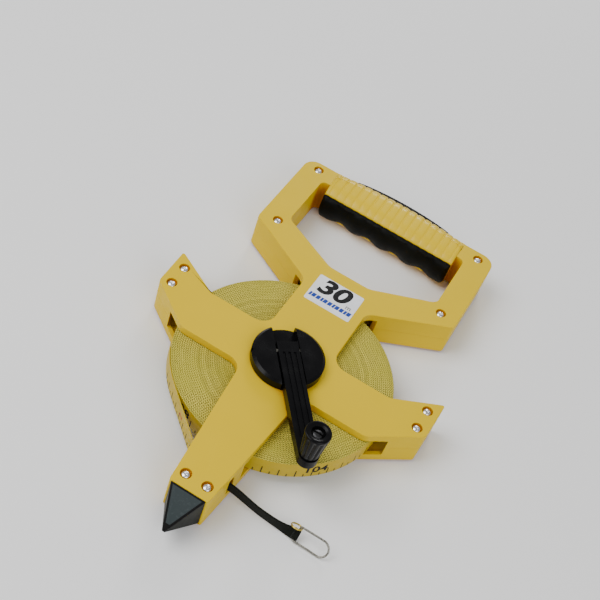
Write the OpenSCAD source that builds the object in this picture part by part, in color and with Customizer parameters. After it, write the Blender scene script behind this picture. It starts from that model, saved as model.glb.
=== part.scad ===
// Surveyor's open-frame tape reel with a folding crank and a ground spike.
// It lies on its back: +Z is out of the front face, +Y points to the handle.
// The origin is on the spool's axis, in the plane that the reel rests on.

/* [Frame] */
// Thickness of the two shells together
frame_t = 25; // [24:0.5:28]
// Height of the frame's rear face above the surface it rests on
frame_lift = 2; // [1.5:0.1:2.5]
// Thickness of the shells' plates and walls
wall = 2.6; // [2:0.1:3]
// Half width of the frame across its two arms
arm_reach = 96; // [93:0.5:100]
// Half width of the handle
handle_half = 75.5; // [74:0.5:78]
// Distance from the spool's axis to the handle's outer edge
handle_top = 173; // [172:0.5:176]
// Distance from the spool's axis to the end of the leg
leg_end = 113; // [112:0.5:114]
// Half width of the neck between the spool and the handle
neck_half = 23; // [22:0.5:25]

/* [Grip] */
// Half length of the ribbed grip
grip_half = 51; // [49:0.5:52]
// Furthest point of the grip from the spool's axis
grip_top = 181; // [180:0.5:182]

/* [Tape] */
// Width of the tape
tape_w = 13; // [12:0.5:13]
// Thickness of the tape
tape_t = 0.45; // [0.4:0.05:0.5]
// Radius of the wound coil
coil_r = 70; // [66:0.5:70]
// Radius of the spool core under the tape
core_r = 25; // [24:0.5:30]
// Direction in which the tape leaves the coil, in degrees
tape_leaves = 228; // [226:0.5:229]

/* [Crank] */
// Direction of the crank arm seen from the front, in degrees
crank_angle = -52; // [-60:1:-50]
// Radius of the hub disc
hub_r = 23; // [22.5:0.1:23.5]
// Distance from the spool's axis to the knob's axis
crank_throw = 71; // [70.5:0.1:73]
// Thickness of the crank arm
arm_t = 6.4; // [6:0.1:6.4]
// Height of the knob
knob_h = 21.5; // [20:0.1:26]
// Radius of the knob at its top
knob_r = 7.8; // [7:0.1:7.8]

/* [Strap and spike] */
// Width of the leader strap
strap_w = 7; // [6.6:0.1:7.4]
// Thickness of the leader strap
strap_t = 1.2; // [1:0.1:1.2]
// Distance from the spool's axis to the tip of the spike
spike_tip = 135; // [130:0.5:140]

/* [Hidden] */
$fn = 64;

// Levels through the frame
rear_z = frame_lift;
front_z = frame_lift + frame_t;
seam_z = rear_z + frame_t / 2;
tape_z0 = seam_z - tape_w / 2;
tape_z1 = seam_z + tape_w / 2;
coil_gap = 0.6;
skirt_rear_z = tape_z0 - coil_gap;
skirt_front_z = tape_z1 + coil_gap;
// Beyond this radius the two plates are joined by walls
box_r = coil_r + 8;
eps = 0.01;

// Screws, on the right half of the frame; the left half mirrors them
screw_sites = [[64.5, 166], [63, 102], [88.3, 23], [88, 7.5], [7, -104.6]];
boss_r = 3.6;
screw_head_r = 2.7;
screw_recess_r = 3.5;
screw_recess_d = 2;
screw_shank_r = 1.45;

// Grip
grip_seat_y = 150.75;
grip_nose_y = 160.8;
grip_nose_r = 13.7;
grip_z0 = 0;
grip_z1 = frame_t + 2 * frame_lift;
grip_arch = 4;
grip_corner = 8;
insert_half = 50.8;
finger_pitch = 21.4;
finger_depth = 1.6;
insert_end_r = 2.2;
bar_y0 = 158;

// Spool and bearings
hub_boss_r = 14;
bush_clear = 0.06;
axle_r = 5;
axle_z0 = rear_z + 3;
bush_z0 = rear_z + 3.2;
cap_r = 20;
core_z0 = tape_z0 - 0.2;
core_z1 = tape_z1 + 0.2;

// Crank levels
hub_z0 = front_z + 0.4;
hub_z1 = hub_z0 + 6.6;
channel_z = hub_z0 + 1;
arm_z0 = channel_z + 0.2;
arm_z1 = arm_z0 + arm_t;
pin_s = -4;
pin_z = arm_z0 + arm_t / 2;
pin_r = 1.5;
arm_end_s = pin_s - 5;
arm_w0 = 13.6;
arm_w1 = 12.6;
pocket_r = norm([pin_s - arm_end_s, arm_t / 2]) + 0.2;
pocket_z = pin_z - pocket_r;
knob_z0 = arm_z1 + 0.4;
knob_z1 = knob_z0 + knob_h;
post_r = 2.5;
knob_head_z = knob_z1 - 3.2;

// Guide pin in the leg: the tape turns round it towards the exit
exit_y = -88.5;
guide_r = 4;
guide_path_r = guide_r + 0.05 + tape_t / 2;
run_r = coil_r + 0.3 + tape_t / 2;
leave_dir = [cos(tape_leaves), sin(tape_leaves)];
guide_y = exit_y + guide_path_r;
guide_x = (run_r - guide_path_r - guide_y * leave_dir[1]) / leave_dir[0];
tape_end_x = 9;
rivet_x = 6;
rivet_r = 1.1;

// Leader strap: x, y and z of its middle line, and how far it leans back from upright in degrees
strap_y = exit_y - tape_t / 2 - strap_t / 2;
hook_lean = 42;
strap_route = [[3, strap_y, 14.5, 0], [9, strap_y, 14.5, 0], [15, strap_y, 14.3, 0], [19, -89.1, 13.4, 0],
               [23, -88.9, 12, 0], [27, -88.8, 10.6, -1], [31, -88.6, 9.1, -2], [35, -88.4, 7.7, -2],
               [39, -88, 6.5, -1], [43, -87.6, 5.4, 0], [47, -87.2, 4.5, 2], [50, -86.9, 4, 6],
               [53, -86.7, 3.8, 14], [55.5, -86.6, 3.9, 24], [57.5, -86.5, 4.2, 35],
               [58.5, -86.5, 4.4, 40], [59.2, -86.5, 4.45, hook_lean]];

// Hem, ring and hook, in the leaning frame whose origin is the middle of the hem's front edge
hem_at = [60.8, -86.5, 4.45];
hem_half_w = 3.3;
hem_half_t = 1.4;
hook_wire_r = 0.6;
hook_mid = 0.4;
hook_half_w = 4.9;
hook_length = 15.1;
ring_r = 3.5;
ring_wire_r = 0.4;
ring_x = -2.3;
ring_w = 4.2;
ring_lean = -7;

// --- Outlines -----------------------------------------------------------

// Points of a path whose corners are [x, y, radius], each corner rounded by an arc
function unit(v) = v / norm(v);
function corner_arc(a, p, b, r) =
    let (u = unit([a[0] - p[0], a[1] - p[1]]), v = unit([b[0] - p[0], b[1] - p[1]]),
         half = acos(max(-1, min(1, u * v))) / 2, back = r / tan(half),
         side = u[0] * v[1] - u[1] * v[0] > 0 ? 1 : -1,
         c = [p[0], p[1]] + unit(u + v) * r / sin(half),
         s = [p[0], p[1]] + u * back - c, sweep = -side * (180 - 2 * half), n = 6)
    [for (i = [0:n]) let (t = sweep * i / n)
        c + [s[0] * cos(t) - s[1] * sin(t), s[0] * sin(t) + s[1] * cos(t)]];
function round_path(pts) =
    let (n = len(pts))
    [for (i = [0:n - 1])
        each (pts[i][2] > 0 ? corner_arc(pts[(i + n - 1) % n], pts[i], pts[(i + 1) % n], pts[i][2])
                            : [[pts[i][0], pts[i][1]]])];
function mirrored(pts) = [for (i = [len(pts) - 1:-1:0]) [-pts[i][0], pts[i][1], pts[i][2]]];

// Right half of the frame's outline from the top of the handle down to the leg's end
frame_side = [[handle_half, handle_top, 9], [handle_half, 96, 3], [neck_half, 67.2, 9],
              [neck_half, 16.5, 10], [64.5, 16.5, 9], [arm_reach, 34.2, 1.2], [arm_reach - 0.8, 4.2, 3],
              [64.5, -18.7, 10], [21.3, -18.7, 9], [12.6, -leg_end, 1.2]];
// Right half of the hand hole's outline, from its top down
hand_side = [[57, bar_y0, 4], [57, 108.6, 6], [15, 88, 12]];

module frame_outline() { polygon(round_path(concat(frame_side, mirrored(frame_side)))); }
module hand_hole() { polygon(round_path(concat(hand_side, mirrored(hand_side)))); }
module frame_plan() { difference() { frame_outline(); hand_hole(); } }
module frame_core() { offset(delta = -wall) frame_plan(); }

module both_sides() { children(); mirror([1, 0, 0]) children(); }
module at_screws() { both_sides() for (p = screw_sites) translate(p) children(); }
module slab(z0, z1) { translate([0, 0, z0]) linear_extrude(z1 - z0) children(); }
module disc(r, z0, z1) { translate([0, 0, z0]) cylinder(r = r, h = z1 - z0); }
module block(x0, x1, y0, y1, z0, z1) { translate([x0, y0, z0]) cube([x1 - x0, y1 - y0, z1 - z0]); }
module crank_frame() { rotate([0, 0, crank_angle]) children(); }

// --- Frame --------------------------------------------------------------

// Ways through the leg's walls for the tape, the strap and the spike's neck
module leg_openings() {
    block(-26, -10, -86, -60, tape_z0 - 0.8, tape_z1 + 0.8);
    block(10, 26, -91, -86, tape_z0 - 0.8, tape_z1 + 0.8);
    block(-8, 8, -leg_end - 1, -leg_end + wall + 1, seam_z - 8, seam_z + 8);
}

module shell(z_face, z_skin, z_skirt) {
    low = min(z_face, z_skin);
    slab(low, low + wall) frame_plan();
    slab(min(z_skin, z_skirt), max(z_skin, z_skirt)) difference() { frame_plan(); frame_core(); }
}

module front_shell() {
    color([0.94, 0.80, 0.14]) difference() {
        union() {
            shell(front_z, front_z - wall, skirt_front_z);
            slab(seam_z, front_z - wall) difference() {
                frame_plan();
                frame_core();
                circle(r = box_r);
            }
            at_screws() disc(boss_r, seam_z, front_z - wall);
            disc(20, skirt_front_z + 0.2, front_z - wall);
        }
        at_screws() {
            disc(screw_recess_r, front_z - screw_recess_d, front_z + 1);
            disc(screw_shank_r + 0.1, seam_z - 1, front_z);
        }
        disc(17, seam_z, front_z + 1);
        leg_openings();
    }
}

module rear_shell() {
    color([0.94, 0.80, 0.14]) difference() {
        union() {
            shell(rear_z, rear_z + wall, skirt_rear_z);
            slab(rear_z + wall, seam_z) difference() {
                frame_plan();
                frame_core();
                circle(r = box_r);
            }
            at_screws() disc(boss_r, rear_z + wall, seam_z);
            disc(14, rear_z + wall, skirt_rear_z);
        }
        at_screws() disc(screw_shank_r, rear_z + wall, seam_z + 1);
        disc(11, rear_z - 1, bush_z0);
        disc(7.5, rear_z, tape_z0);
        leg_openings();
    }
}

module shell_screws() {
    color("silver") at_screws() {
        translate([0, 0, front_z - screw_recess_d]) rotate_extrude() intersection() {
            translate([0, -2.2]) circle(r = 3.7);
            square([screw_head_r, 2]);
        }
        disc(screw_shank_r, seam_z - 7, front_z - screw_recess_d);
    }
}

// --- Grip ---------------------------------------------------------------

// The grip's outline from the front: straight inner side, slightly arched outer side
module grip_plan() {
    arch_r = (grip_half * grip_half + grip_arch * grip_arch) / (2 * grip_arch);
    intersection() {
        translate([-grip_half, grip_seat_y]) square([2 * grip_half, grip_top - grip_seat_y]);
        translate([0, grip_top - arch_r]) circle(r = arch_r, $fn = 200);
    }
}

// Half of the grip on one side of the seam, hollow where it holds the handle's bar
module grip_half_sleeve(z0, z1) {
    difference() {
        intersection() {
            slab(z0, z1) grip_plan();
            translate([-grip_half, 0, 0]) rotate([90, 0, 90]) linear_extrude(2 * grip_half) hull() {
                translate([grip_nose_y, seam_z]) circle(r = grip_nose_r, $fn = 48);
                for (z = [grip_z0 + grip_corner, grip_z1 - grip_corner])
                    translate([grip_top - grip_corner, z]) circle(r = grip_corner, $fn = 24);
            }
        }
        slab(rear_z, front_z) frame_plan();
        block(-40, 40, handle_top - 0.5, grip_top + 1, seam_z - 9.5, seam_z + 9.5);
    }
}

module grip_front() { color([0.95, 0.82, 0.16]) grip_half_sleeve(seam_z, grip_z1); }
module grip_rear() { color([0.95, 0.82, 0.16]) grip_half_sleeve(grip_z0, seam_z); }

// Rubber on the grip's nose: round in section, with four shallow hollows for the fingers along it
function finger_r(x) =
    let (end = max(0, abs(x) - insert_half + insert_end_r),
         ridge = abs(x) > 2 * finger_pitch ? 1 : 0.5 + 0.5 * cos(360 * x / finger_pitch))
    grip_nose_r + 0.3 + finger_depth * ridge - insert_end_r + sqrt(insert_end_r * insert_end_r - end * end);

module finger_insert() {
    step = finger_pitch / 6;
    stations = [-insert_half, for (i = [-14:14]) i * step, insert_half];
    color([0.05, 0.05, 0.05]) intersection() {
        translate([0, grip_nose_y, seam_z]) rotate([0, 90, 0]) rotate_extrude($fn = 72)
            polygon([[0, -insert_half], for (x = stations) [finger_r(x), x], [0, insert_half]]);
        block(-grip_half, grip_half, grip_nose_y - 20, grip_seat_y, grip_z0, grip_z1);
    }
}

module grip_back_strip() {
    color([0.05, 0.05, 0.05]) difference() {
        block(-39.8, 39.8, handle_top + 0.1, grip_top - 0.5, seam_z - 9.3, seam_z + 9.3);
        difference() {
            block(-60, 60, 170, 190, -5, 35);
            slab(-6, 36) grip_plan();
        }
    }
}

module label() {
    color("white") slab(front_z, front_z + 0.25)
        polygon(round_path([[16.6, 78, 1], [16.6, 52.8, 1], [-16.6, 52.8, 1], [-16.6, 78, 1]]));
}

// --- Leg and spike ------------------------------------------------------

module ground_spike() {
    base = 11.2;
    tip = 0.9;
    color([0.24, 0.27, 0.27]) union() {
        translate([0, -leg_end, seam_z]) rotate([90, 0, 0])
            linear_extrude(spike_tip - leg_end, scale = tip / base)
                square([2 * base, frame_t - 1.4], center = true);
        block(-7.9, 7.9, -leg_end, -leg_end + wall + 0.1, seam_z - 7.9, seam_z + 7.9);
        difference() {
            block(-9.6, 9.6, -leg_end + wall + 0.1, -98, rear_z + wall + 0.2, front_z - wall - 0.2);
            at_screws() disc(boss_r + 0.2, 0, front_z);
        }
    }
}

module guide_pin() {
    color("silver") translate([guide_x, guide_y, 0]) disc(guide_r, rear_z + wall, front_z - wall);
}

// --- Spool --------------------------------------------------------------

module rear_cap() {
    color([0.06, 0.06, 0.06]) {
        disc(cap_r, 0, rear_z);
        difference() {
            disc(11, rear_z, rear_z + 1.6);
            disc(9.8, rear_z - 1, rear_z + 2);
        }
    }
}

module front_bush() {
    color("white") difference() {
        disc(17, skirt_front_z + 0.2, front_z);
        disc(hub_boss_r + bush_clear, 0, front_z + 1);
    }
}

module rear_bush() {
    color("white") difference() {
        disc(7.5, bush_z0, skirt_rear_z);
        disc(axle_r + bush_clear, 0, seam_z);
    }
}

module spool_core() {
    color([0.08, 0.08, 0.08]) difference() {
        union() {
            difference() {
                disc(core_r, core_z0, core_z1);
                disc(core_r - 3, core_z0 - 1, core_z1 + 1);
            }
            disc(core_r - 2, seam_z - 1.5, seam_z + 1.5);
            disc(hub_boss_r, core_z0, core_z1);
        }
        disc(axle_r, 0, front_z);
    }
}

module axle() {
    color("silver") difference() {
        union() {
            disc(axle_r, axle_z0, core_z1);
            translate([-3.5, -3.5, core_z1 - eps]) cube([7, 7, 2.2]);
        }
        disc(2, axle_z0 - 1, axle_z0 + 6.2);
        disc(2, seam_z - 3, front_z);
    }
}

module hub_screw() {
    color("silver") {
        disc(3.8, core_z1 + 2.4, pocket_z - 0.1);
        disc(2, seam_z - 2.5, core_z1 + 2.4);
    }
}

module rear_washer() {
    color("silver") difference() {
        disc(9, axle_z0 - 1, axle_z0);
        disc(2, 0, axle_z0 + 1);
    }
}

module rear_screw() {
    color("silver") {
        disc(4, rear_z + 0.4, axle_z0 - 1);
        disc(2, axle_z0 - 1, axle_z0 + 6);
    }
}

// --- Crank --------------------------------------------------------------

module crank_hub() {
    color([0.06, 0.06, 0.06]) difference() {
        union() {
            rotate_extrude($fn = 96) polygon([[0, hub_z0], [hub_r, hub_z0], [hub_r, hub_z1 - 1.4],
                                              [hub_r - 1.8, hub_z1], [0, hub_z1]]);
            disc(hub_boss_r, core_z1, hub_z0);
        }
        translate([-3.5, -3.5, core_z1 - 1]) cube([7, 7, 3.4]);
        disc(2, core_z1, pocket_z);
        disc(3.9, core_z1 + 2.4, front_z);
        crank_frame() {
            block(-hub_r - 1, hub_r + 1, -7.6, 7.6, channel_z, hub_z1 + 1);
            block(pin_s - pocket_r, pin_s + pocket_r, -7.6, 7.6, pocket_z, channel_z + 1);
            translate([pin_s, 16, pin_z]) rotate([90, 0, 0]) cylinder(r = pin_r, h = 40);
        }
    }
}

module crank_pin() {
    color("silver") crank_frame() translate([pin_s, 16, pin_z]) rotate([90, 0, 0])
        cylinder(r = pin_r, h = 36);
}

module crank_arm() {
    groove_x1 = crank_throw - 11;
    color([0.06, 0.06, 0.06]) crank_frame() difference() {
        union() {
            slab(arm_z0, arm_z1) polygon([[arm_end_s, -arm_w0 / 2], [crank_throw, -arm_w1 / 2],
                                          [crank_throw, arm_w1 / 2], [arm_end_s, arm_w0 / 2]]);
            translate([crank_throw, 0, 0]) disc(arm_w1 / 2, arm_z0, arm_z1);
        }
        for (y = [-3.4, 0, 3.4]) block(-1, groove_x1, y - 0.8, y + 0.8, arm_z1 - 0.7, arm_z1 + 1);
        translate([pin_s, 20, pin_z]) rotate([90, 0, 0]) cylinder(r = pin_r + bush_clear, h = 40);
        translate([crank_throw, 0, 0]) disc(post_r, arm_z0 - 1, arm_z1 + 1);
    }
}

module knob_post() {
    color("silver") crank_frame() translate([crank_throw, 0, 0]) difference() {
        disc(post_r, arm_z0, knob_head_z - 0.1);
        disc(1.2, knob_head_z - 9, knob_head_z);
    }
}

module knob() {
    color([0.06, 0.06, 0.06]) crank_frame() translate([crank_throw, 0, 0]) difference() {
        rotate_extrude() polygon([[0, knob_z0], [knob_r - 2.2, knob_z0], [knob_r - 1.8, knob_z0 + 1],
                                  [knob_r, knob_z1 - 2], [knob_r - 0.6, knob_z1], [0, knob_z1]]);
        for (a = [0:30:330]) rotate([0, 0, a + 15]) translate([knob_r + 0.35, 0, 0])
            rotate([0, -3.6, 0]) disc(0.9, knob_z0 - 4, knob_z1 + 2);
        disc(post_r + bush_clear, 0, knob_z1 + 1);
        disc(4.2, knob_head_z, knob_z1 + 1);
    }
}

module knob_screw() {
    color("silver") crank_frame() translate([crank_throw, 0, 0]) {
        disc(3.5, knob_head_z + 0.1, knob_head_z + 2);
        disc(1.2, knob_head_z - 8, knob_head_z + 0.1);
    }
}

// --- Tape, strap and hook -----------------------------------------------

module tape_coil() {
    color([0.78, 0.72, 0.42]) difference() {
        translate([0, 0, tape_z0]) cylinder(r = coil_r, h = tape_w, $fn = 128);
        disc(core_r, 0, front_z);
    }
}

// Middle line of the free tape: round the coil, straight to the guide pin, round it and on to its end
function tape_line() = concat(
    [for (a = [tape_leaves - 24:4:tape_leaves]) run_r * [cos(a), sin(a)]],
    [for (a = [tape_leaves:7:270]) [guide_x, guide_y] + guide_path_r * [cos(a), sin(a)]],
    [[tape_end_x, exit_y]]);

function side_step(p, i) =
    let (a = p[max(0, i - 1)], b = p[min(len(p) - 1, i + 1)], d = unit(b - a)) [-d[1], d[0]] * tape_t / 2;

module tape_run() {
    p = tape_line();
    n = len(p);
    color([0.82, 0.70, 0.15]) difference() {
        slab(tape_z0, tape_z1)
            polygon(concat([for (i = [0:n - 1]) p[i] + side_step(p, i)],
                           [for (i = [n - 1:-1:0]) p[i] - side_step(p, i)]));
        at_rivet() cylinder(r = rivet_r, h = 6, center = true);
    }
}

module at_rivet() { translate([rivet_x, exit_y, seam_z]) rotate([90, 0, 0]) children(); }

module leader_rivet() {
    color([0.72, 0.56, 0.25]) at_rivet() {
        translate([0, 0, -tape_t / 2 - 0.7]) cylinder(r = 2.2, h = 0.7);
        translate([0, 0, -tape_t / 2]) cylinder(r = rivet_r, h = tape_t + strap_t);
        translate([0, 0, tape_t / 2 + strap_t]) cylinder(r = 2.2, h = 0.7);
    }
}

// Cross-section of the strap: a flat bar with bevelled corners, first number across, second through
strap_section = let (w = strap_w / 2, t = strap_t / 2, b = 0.3)
    [[t, w - b], [t - b, w], [b - t, w], [-t, w - b], [-t, b - w], [b - t, -w], [t - b, -w], [t, b - w]];

function strap_ring_at(i) =
    let (p = strap_route, n = len(p), a = p[max(0, i - 1)], b = p[min(n - 1, i + 1)],
         d = unit([b[0] - a[0], b[1] - a[1], 0]), lean = p[i][3],
         back = [-d[1], d[0], 0], across = back * sin(lean) + [0, 0, cos(lean)],
         through = -back * cos(lean) + [0, 0, sin(lean)])
    [for (q = strap_section) [p[i][0], p[i][1], p[i][2]] + through * q[0] + across * q[1]];

module leader_strap() {
    n = len(strap_route);
    m = len(strap_section);
    color([0.10, 0.11, 0.09]) difference() {
        polyhedron(
            points = [for (i = [0:n - 1]) each strap_ring_at(i)],
            faces = concat(
                [[for (j = [0:m - 1]) j]],
                [for (i = [0:n - 2], j = [0:m - 1])
                    let (k = (j + 1) % m, here = i * m, next = (i + 1) * m)
                    each [[here + k, here + j, next + j], [here + k, next + j, next + k]]],
                [[for (j = [m - 1:-1:0]) (n - 1) * m + j]]));
        at_rivet() cylinder(r = rivet_r, h = 6, center = true);
    }
}

// Leaning frame at the end of the strap: X goes on along the strap, Y goes up its width
module hem_frame() { translate(hem_at) rotate([90 - hook_lean, 0, 0]) children(); }
module bar(r, y0, y1) { translate([0, y1, 0]) rotate([90, 0, 0]) cylinder(r = r, h = y1 - y0, $fn = 24); }

// Folded end of the strap, sewn round the hook's straight side
module strap_hem() {
    back = strap_route[len(strap_route) - 1][0] - hem_at[0];
    color([0.10, 0.11, 0.09]) hem_frame() difference() {
        union() {
            block(back, 0, -hem_half_w, hem_half_w, -hem_half_t, hem_half_t);
            bar(hem_half_t, -hem_half_w, hem_half_w);
        }
        bar(hook_wire_r + bush_clear, -hem_half_w - 1, hem_half_w + 1);
    }
}

// Small ring held loosely round the hook's straight side, above the hem
module strap_ring() {
    color([0.80, 0.66, 0.28]) hem_frame() translate([ring_x, ring_w, 0]) rotate([90 - ring_lean, 0, 0])
        rotate_extrude() translate([ring_r, 0]) circle(r = ring_wire_r, $fn = 24);
}

// Wire loop hinged in the strap's hem, the low side of its round end just above the surface
module hook_loop() {
    color("silver") hem_frame() translate([0, hook_mid, 0]) {
        bar(hook_wire_r, -hook_half_w, hook_half_w);
        for (y = [-hook_half_w, hook_half_w]) translate([0, y, 0]) {
            sphere(r = hook_wire_r, $fn = 24);
            rotate([0, 90, 0]) cylinder(r = hook_wire_r, h = hook_length, $fn = 24);
        }
        translate([hook_length, 0, 0]) rotate([0, 0, -90])
            rotate_extrude(angle = 180) translate([hook_half_w, 0]) circle(r = hook_wire_r, $fn = 24);
    }
}

front_shell();
rear_shell();
shell_screws();
grip_front();
grip_rear();
finger_insert();
grip_back_strip();
label();
ground_spike();
guide_pin();
rear_cap();
front_bush();
rear_bush();
spool_core();
axle();
hub_screw();
rear_screw();
rear_washer();
crank_hub();
crank_pin();
crank_arm();
knob_post();
knob();
knob_screw();
tape_coil();
tape_run();
leader_rivet();
leader_strap();
strap_hem();
strap_ring();
hook_loop();
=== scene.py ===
"""Looks of an open-frame surveyor's tape reel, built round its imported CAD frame.

Lengths inside the builders are millimetres in the CAD frame (MM turns them into Blender's metres).
"""

import math
import random

import bmesh
import bpy
from mathutils import Matrix, Vector


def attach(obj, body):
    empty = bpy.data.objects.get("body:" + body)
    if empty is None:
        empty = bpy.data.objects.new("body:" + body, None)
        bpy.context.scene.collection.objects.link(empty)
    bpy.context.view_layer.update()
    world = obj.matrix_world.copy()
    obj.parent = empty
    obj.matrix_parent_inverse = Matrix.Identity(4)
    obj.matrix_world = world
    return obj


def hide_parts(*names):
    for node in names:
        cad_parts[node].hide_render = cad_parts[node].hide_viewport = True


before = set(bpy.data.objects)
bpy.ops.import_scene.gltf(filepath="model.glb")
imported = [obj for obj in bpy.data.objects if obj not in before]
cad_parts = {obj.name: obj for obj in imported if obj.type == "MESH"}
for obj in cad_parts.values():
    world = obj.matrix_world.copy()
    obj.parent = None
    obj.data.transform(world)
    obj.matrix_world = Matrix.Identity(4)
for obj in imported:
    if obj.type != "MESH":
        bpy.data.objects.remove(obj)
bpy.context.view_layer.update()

MM = 0.001
random.seed(30)


# --- Camera ---------------------------------------------------------------------------

def make_camera():
    """Camera above the front face, a little to the right of the leg, and rolled."""
    data = bpy.data.cameras.new("camera")
    data.lens = 69.6
    data.sensor_width = 36
    camera = bpy.data.objects.new("camera", data)
    bpy.context.scene.collection.objects.link(camera)
    aim = Vector((-0.0195, 0.0602, 0.0145))
    distance, azimuth, elevation, roll = 0.757, 13.0, 47.0, 20.7
    a, e = math.radians(azimuth), math.radians(elevation)
    back = Vector((math.sin(a) * math.cos(e), -math.cos(a) * math.cos(e), math.sin(e)))
    level = back.to_track_quat("Z", "Y").to_matrix().to_4x4()
    turn = Matrix.Rotation(math.radians(roll), 4, "Z")
    camera.matrix_world = Matrix.Translation(aim + back * distance) @ level @ turn
    bpy.context.scene.camera = camera


# --- Mesh helpers ---------------------------------------------------------------------

def place(bm, name, material, body, replaced=(), sharp=38):
    """Turns a bmesh in millimetres into a smooth piece that keeps edges sharper than `sharp` degrees."""
    bmesh.ops.recalc_face_normals(bm, faces=bm.faces[:])
    for face in bm.faces:
        face.smooth = True
    for edge in bm.edges:
        edge.smooth = len(edge.link_faces) == 2 and edge.calc_face_angle(0) < math.radians(sharp)
    mesh = bpy.data.meshes.new(name)
    bm.to_mesh(mesh)
    bm.free()
    mesh.transform(Matrix.Scale(MM, 4))
    mesh.materials.append(material)
    piece = bpy.data.objects.new(name, mesh)
    bpy.context.scene.collection.objects.link(piece)
    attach(piece, body)
    if replaced:
        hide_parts(*replaced)
    return piece


def weigh_normals(piece):
    """Keeps flat faces flat where they meet rounded edges."""
    modifier = piece.modifiers.new("normals", "WEIGHTED_NORMAL")
    modifier.keep_sharp = True
    modifier.weight = 100


def add_loft(bm, rings, closed=False):
    """Joins rings of points, all of one length, into a closed solid; closed joins the last to the first."""
    rows = [[bm.verts.new(p) for p in ring] for ring in rings]
    count = len(rows[0])
    spans = len(rows) if closed else len(rows) - 1
    for i in range(spans):
        here, there = rows[i], rows[(i + 1) % len(rows)]
        for j in range(count):
            k = (j + 1) % count
            bm.faces.new((here[j], here[k], there[k], there[j]))
    if not closed:
        bm.faces.new(rows[0][::-1])
        bm.faces.new(rows[-1])


def spin(profile, segments, centre=(0, 0), radius_at=None):
    """Rings of a closed (r, z) profile turned about a vertical axis; radius_at may change r by angle."""
    rings = []
    for i in range(segments):
        angle = math.tau * i / segments
        ring = []
        for r, z in profile:
            if radius_at:
                r = radius_at(r, z, angle)
            ring.append((centre[0] + r * math.cos(angle), centre[1] + r * math.sin(angle), z))
        rings.append(ring)
    return rings


def tube_rings(path, radius, sides=10, closed=False):
    """Round rings along a path, each square to it."""
    points = [Vector(p) for p in path]
    count = len(points)
    rings, side = [], None
    for i, p in enumerate(points):
        before = points[i - 1] if closed or i > 0 else p
        after = points[(i + 1) % count] if closed or i < count - 1 else p
        ahead = (after - before).normalized()
        if side is None:
            side = ahead.orthogonal().normalized()
        side = (side - ahead * side.dot(ahead)).normalized()
        up = ahead.cross(side)
        turn = math.tau / sides
        rings.append([
            p + (side * math.cos(turn * k) + up * math.sin(turn * k)) * radius for k in range(sides)
        ])
    return rings


def spline(a, b, c, d, t):
    """Catmull-Rom point between b and c, taken number by number."""
    return [
        0.5 * (2 * q + (r - p) * t + (2 * p - 5 * q + 4 * r - s) * t * t + (3 * q - p - 3 * r + s) * t ** 3)
        for p, q, r, s in zip(a, b, c, d)
    ]


def smooth_path(points, steps):
    """Smooth curve through the points; each point may hold extra numbers, which are smoothed too."""
    ends = [points[0], *points, points[-1]]
    out = []
    for i in range(len(points) - 1):
        out += [spline(*ends[i:i + 4], k / steps) for k in range(steps)]
    out.append(list(points[-1]))
    return out


def rounded_copy(node, material, body, radius, segments=3):
    """A copy of a CAD node with its sharp edges rounded; radius(edge middle in mm) says how much, in mm."""
    weld, flat, corner = 0.002, math.radians(0.6), math.radians(30)
    bm = bmesh.new()
    bm.from_mesh(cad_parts[node].data)
    bmesh.ops.scale(bm, vec=(1 / MM,) * 3, verts=bm.verts[:])
    bmesh.ops.remove_doubles(bm, verts=bm.verts[:], dist=weld)
    bmesh.ops.dissolve_limit(bm, angle_limit=flat, verts=bm.verts[:], edges=bm.edges[:])
    weights = bm.edges.layers.float.new("bevel_weight_edge")
    corners = [e for e in bm.edges if len(e.link_faces) == 2 and e.calc_face_angle(0) > corner]
    sizes = [radius((e.verts[0].co + e.verts[1].co) / 2) for e in corners]
    widest = max(sizes)
    for edge, size in zip(corners, sizes):
        edge[weights] = size / widest
    piece = place(bm, node + "_look", material, body, [node], sharp=180)
    bevel = piece.modifiers.new("rounding", "BEVEL")
    bevel.limit_method = "WEIGHT"
    bevel.width = widest * MM
    bevel.segments = segments
    bevel.use_clamp_overlap = True
    weigh_normals(piece)
    return piece


# --- Materials ------------------------------------------------------------------------

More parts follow.
